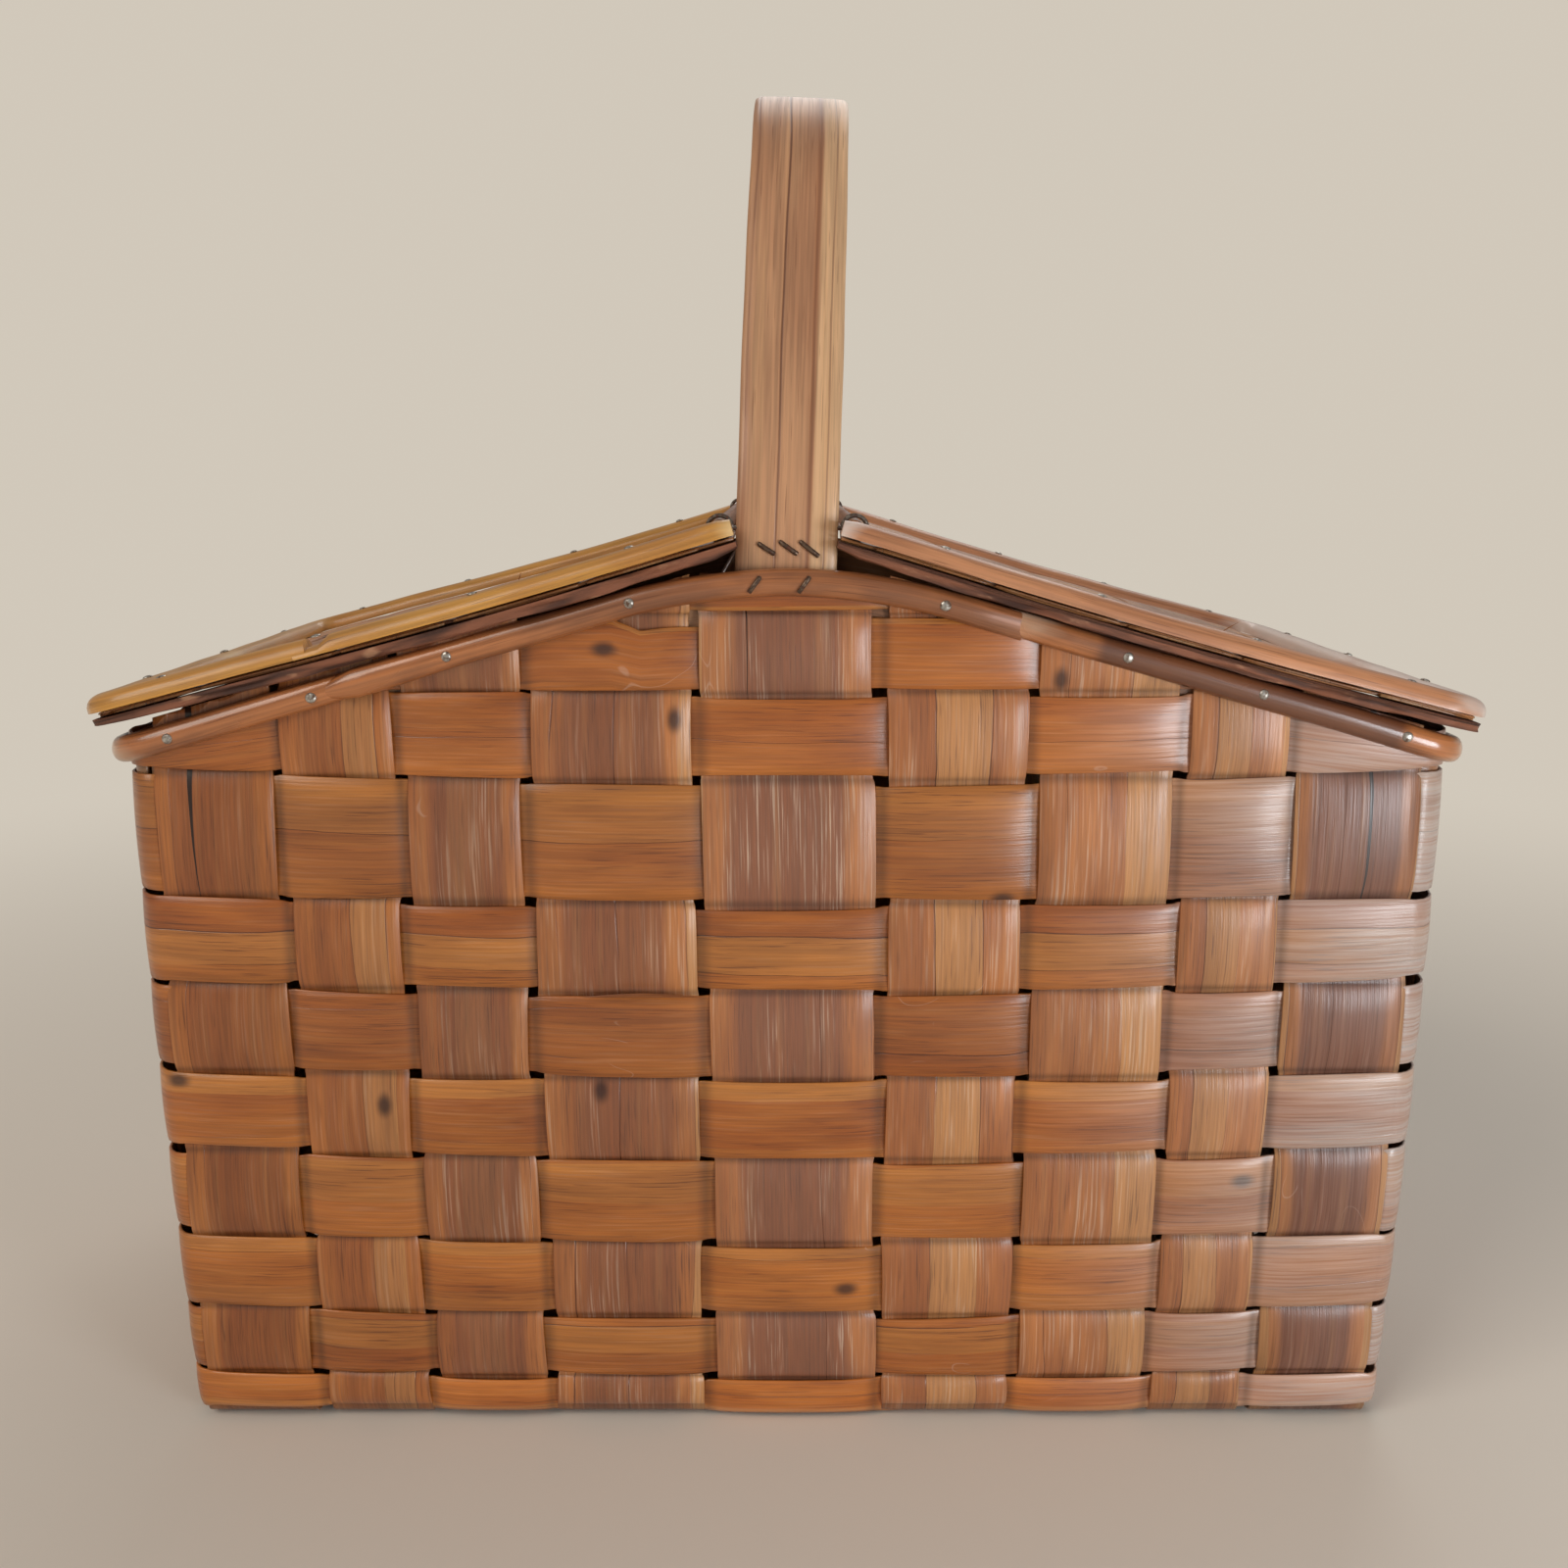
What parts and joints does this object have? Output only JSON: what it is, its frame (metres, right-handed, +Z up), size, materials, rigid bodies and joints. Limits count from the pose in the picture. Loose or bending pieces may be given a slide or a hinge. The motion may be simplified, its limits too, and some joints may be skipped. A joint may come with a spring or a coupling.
{
  "type": "picnic basket",
  "caption": "Woven wood-splint picnic basket with a gabled rim, a fixed bentwood hoop handle and hinged lids that slope down from the handle to both ends.",
  "frame": {"origin": "on the floor, at the middle of the basket", "axes": "+Z up; the basket is long in X; its front wall faces -Y and the hoop handle stands in the YZ plane"},
  "size_m": [0.4394, 0.252, 0.4505],
  "materials": {
    "stake_splint": "varnished shaved wood, pale edges and brown middle",
    "weaver_splint": "varnished shaved wood, warm orange brown",
    "rim_reed": "varnished half-round reed, dark brown",
    "rim_band": "dull shaved wood",
    "handle_wood": "varnished bent wood, tan with reddish grain",
    "slat_wood": "varnished flat wood",
    "left_trim_reed": "varnished half-round reed, golden yellow",
    "right_trim_reed": "varnished half-round reed, pinkish tan",
    "lid_splint": "varnished shaved wood",
    "lid_under_strip": "rough dark brown strip with bark",
    "rail_wood": "pale worn round stick",
    "wire": "dull drawn wire",
    "nail_steel": "dull grey"
  },
  "bodies": {
    "basket": {"centre_slat": "slat_wood", "cross_stake_1": "stake_splint", "cross_stake_2": "stake_splint", "cross_stake_3": "stake_splint", "cross_stake_4": "stake_splint", "cross_stake_5": "stake_splint", "cross_stake_6": "stake_splint", "cross_stake_7": "stake_splint", "cross_stake_8": "stake_splint", "cross_stake_9": "stake_splint", "gable_weaver_back_10": "weaver_splint", "gable_weaver_back_11": "weaver_splint", "gable_weaver_front_10": "weaver_splint", "gable_weaver_front_11": "weaver_splint", "handle": "handle_wood", "inner_band_left": "rim_band", "inner_band_right": "rim_band", "left_hinge_wires": "wire", "leg_nails": "nail_steel", "long_stake_1": "stake_splint", "long_stake_2": "stake_splint", "long_stake_3": "stake_splint", "long_stake_4": "stake_splint", "long_stake_5": "stake_splint", "right_hinge_wires": "wire", "rim_nails": "nail_steel", "rim_reed_front": "rim_reed", "rim_reed_round": "rim_reed", "weaver_1": "weaver_splint", "weaver_2": "weaver_splint", "weaver_3": "weaver_splint", "weaver_4": "weaver_splint", "weaver_5": "weaver_splint", "weaver_6": "weaver_splint", "weaver_7": "weaver_splint", "weaver_8": "weaver_splint", "weaver_9": "weaver_splint"},
    "left_lid": {"left_lid_cross_splints": "lid_splint", "left_lid_long_splints": "lid_splint", "left_lid_nails": "nail_steel", "left_lid_rail": "rail_wood", "left_lid_top_trim": "left_trim_reed", "left_lid_under_strip": "lid_under_strip"},
    "right_lid": {"right_lid_cross_splints": "lid_splint", "right_lid_long_splints": "lid_splint", "right_lid_nails": "nail_steel", "right_lid_rail": "rail_wood", "right_lid_top_trim": "right_trim_reed", "right_lid_under_strip": "lid_under_strip"}
  },
  "joints": [
    {"name": "left_lid_hinge", "type": "hinge", "parent": "basket", "child": "left_lid", "pos_m": [-0.0206, 0, 0.304], "axis": [0, 1, 0], "range_deg": [0, 100]},
    {"name": "right_lid_hinge", "type": "hinge", "parent": "basket", "child": "right_lid", "pos_m": [0.0206, 0, 0.304], "axis": [0, -1, 0], "range_deg": [0, 100]}
  ]
}
